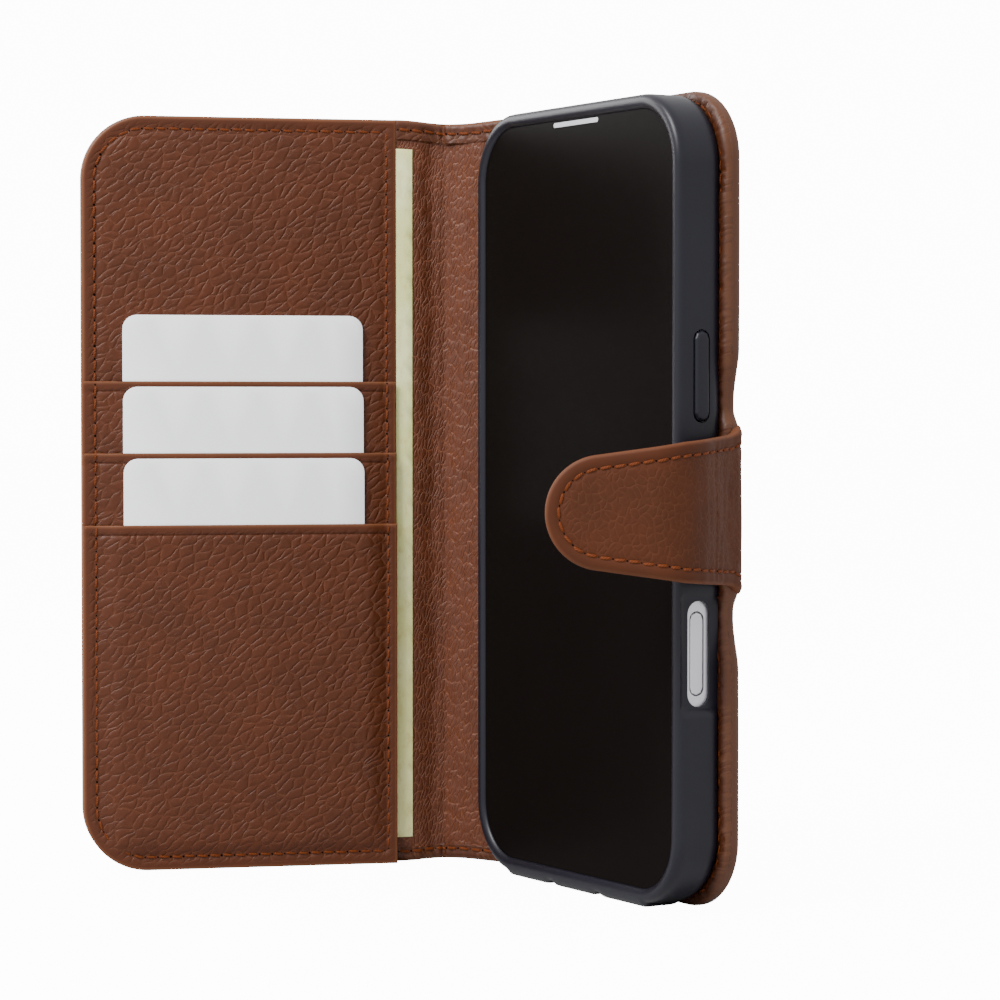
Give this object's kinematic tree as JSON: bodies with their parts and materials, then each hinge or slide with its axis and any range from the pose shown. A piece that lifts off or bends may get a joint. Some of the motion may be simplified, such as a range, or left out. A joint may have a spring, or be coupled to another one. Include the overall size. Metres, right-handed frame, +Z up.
{
  "type": "phone wallet case",
  "caption": "Folio wallet case for a phone, standing open: grained leather covers on a soft spine, card and note pockets, soft shell holding a phone, and a closing strap.",
  "frame": {"origin": "middle of the back cover's lower edge face, on which the case stands", "axes": "+X from the spine to the back cover's free edge, +Y out of the back cover's outer face, +Z up"},
  "size_m": [0.1378, 0.0925, 0.1682],
  "materials": {
    "outer_leather": "pebble-grained brown leather, satin",
    "panel_leather": "pebble-grained brown leather, satin",
    "lining_leather": "fine-grained brown lining leather",
    "thread": "orange-brown waxed thread",
    "board": "stiff fibre board",
    "steel": "plated steel and magnet",
    "note_paper": "plain banknote paper, no print",
    "card_plastic": "white laminated card, satin",
    "adhesive": "clear double-sided sheet",
    "soft_shell": "black soft plastic, fine matte texture",
    "screen_glass": "black display glass, polished",
    "lens_glass": "dark lens glass",
    "phone_back": "frosted dark grey glass",
    "earpiece_mesh": "fine metal mesh",
    "phone_metal": "bead-blasted silver"
  },
  "bodies": {
    "back_cover": {"back_outer_leather": "outer_leather", "back_board": "board", "back_lining": "lining_leather", "back_stitching": "thread", "shell_bonding_pad": "adhesive", "phone_shell": "soft_shell", "phone_frame": "phone_metal", "phone_screen": "screen_glass", "phone_back_glass": "phone_back", "phone_earpiece": "earpiece_mesh", "phone_camera_island": "phone_back", "phone_camera_lenses": "lens_glass", "strap_root": "outer_leather"},
    "spine": {"spine_outer_leather": "outer_leather", "spine_lining": "lining_leather", "spine_stitching": "thread"},
    "front_cover": {"front_outer_leather": "outer_leather", "front_board": "board", "front_lining": "lining_leather", "card_panel": "panel_leather", "card_pocket_upper": "panel_leather", "card_pocket_middle": "panel_leather", "card_pocket_lower": "panel_leather", "front_stitching": "thread", "closing_plate": "steel"},
    "upper_card": {"card_upper": "card_plastic"},
    "middle_card": {"card_middle": "card_plastic"},
    "lower_card": {"card_lower": "card_plastic"},
    "note": {"banknote": "note_paper"},
    "strap_side": {"strap_side_leather": "outer_leather", "strap_side_lining": "lining_leather"},
    "strap_tab": {"strap_tab_leather": "outer_leather", "strap_tab_lining": "lining_leather", "strap_tab_stitching": "thread", "strap_magnet": "steel"},
    "side_button": {"side_button_cover": "soft_shell"},
    "volume_up_button": {"volume_up_cover": "soft_shell"},
    "volume_down_button": {"volume_down_cover": "soft_shell"},
    "action_button": {"action_button_cover": "soft_shell"},
    "side_key": {"phone_side_key": "phone_metal"},
    "volume_up_key": {"phone_volume_up_key": "phone_metal"},
    "volume_down_key": {"phone_volume_down_key": "phone_metal"},
    "action_key": {"phone_action_key": "phone_metal"},
    "camera_key": {"phone_camera_key": "phone_metal"}
  },
  "joints": [
    {"name": "spine_fold", "type": "hinge", "parent": "back_cover", "child": "spine", "pos_m": [-0.04175, 0.0006, 0], "axis": [0, 0, 1], "range_deg": [-129.3, 45.7]},
    {"name": "cover_fold", "type": "hinge", "parent": "spine", "child": "front_cover", "pos_m": [-0.05668, -0.01162, 0], "axis": [0, 0, 1], "range_deg": [-121.7, 63.3]},
    {"name": "strap_root_fold", "type": "hinge", "parent": "back_cover", "child": "strap_side", "pos_m": [0.0418, 0.0008, 0.0824], "axis": [0, 0, -1], "range_deg": [-60, 30]},
    {"name": "strap_tab_fold", "type": "hinge", "parent": "strap_side", "child": "strap_tab", "pos_m": [0.0526, -0.01791, 0.0824], "axis": [0, 0, -1], "range_deg": [-60, 30]},
    {"name": "upper_card_slide", "type": "slide", "parent": "front_cover", "child": "upper_card", "axis": [0, 0, 1], "range_m": [0, 0.072]},
    {"name": "middle_card_slide", "type": "slide", "parent": "front_cover", "child": "middle_card", "axis": [0, 0, 1], "range_m": [0, 0.072]},
    {"name": "lower_card_slide", "type": "slide", "parent": "front_cover", "child": "lower_card", "axis": [0, 0, 1], "range_m": [0, 0.072]},
    {"name": "note_slide", "type": "slide", "parent": "front_cover", "child": "note", "axis": [0.3256, 0.9455, 0], "range_m": [0, 0.005]},
    {"name": "side_button_press", "type": "slide", "parent": "back_cover", "child": "side_button", "axis": [-1, 0, 0], "range_m": [0, 0.0004], "stiffness_N_per_m": 1500},
    {"name": "side_key_press", "type": "slide", "parent": "back_cover", "child": "side_key", "axis": [-1, 0, 0], "range_m": [0, 0.00025], "stiffness_N_per_m": 500},
    {"name": "volume_up_button_press", "type": "slide", "parent": "back_cover", "child": "volume_up_button", "axis": [1, 0, 0], "range_m": [0, 0.0004], "stiffness_N_per_m": 1500},
    {"name": "volume_up_key_press", "type": "slide", "parent": "back_cover", "child": "volume_up_key", "axis": [1, 0, 0], "range_m": [0, 0.00025], "stiffness_N_per_m": 500},
    {"name": "volume_down_button_press", "type": "slide", "parent": "back_cover", "child": "volume_down_button", "axis": [1, 0, 0], "range_m": [0, 0.0004], "stiffness_N_per_m": 1500},
    {"name": "volume_down_key_press", "type": "slide", "parent": "back_cover", "child": "volume_down_key", "axis": [1, 0, 0], "range_m": [0, 0.00025], "stiffness_N_per_m": 500},
    {"name": "action_button_press", "type": "slide", "parent": "back_cover", "child": "action_button", "axis": [1, 0, 0], "range_m": [0, 0.0004], "stiffness_N_per_m": 1500},
    {"name": "action_key_press", "type": "slide", "parent": "back_cover", "child": "action_key", "axis": [1, 0, 0], "range_m": [0, 0.00025], "stiffness_N_per_m": 500},
    {"name": "camera_key_press", "type": "slide", "parent": "back_cover", "child": "camera_key", "axis": [-1, 0, 0], "range_m": [0, 0.0002], "stiffness_N_per_m": 1500}
  ],
  "couplings": [
    {"joint": "side_key_press", "follows": "side_button_press", "ratio": 0.625},
    {"joint": "volume_up_key_press", "follows": "volume_up_button_press", "ratio": 0.625},
    {"joint": "volume_down_key_press", "follows": "volume_down_button_press", "ratio": 0.625},
    {"joint": "action_key_press", "follows": "action_button_press", "ratio": 0.625}
  ]
}
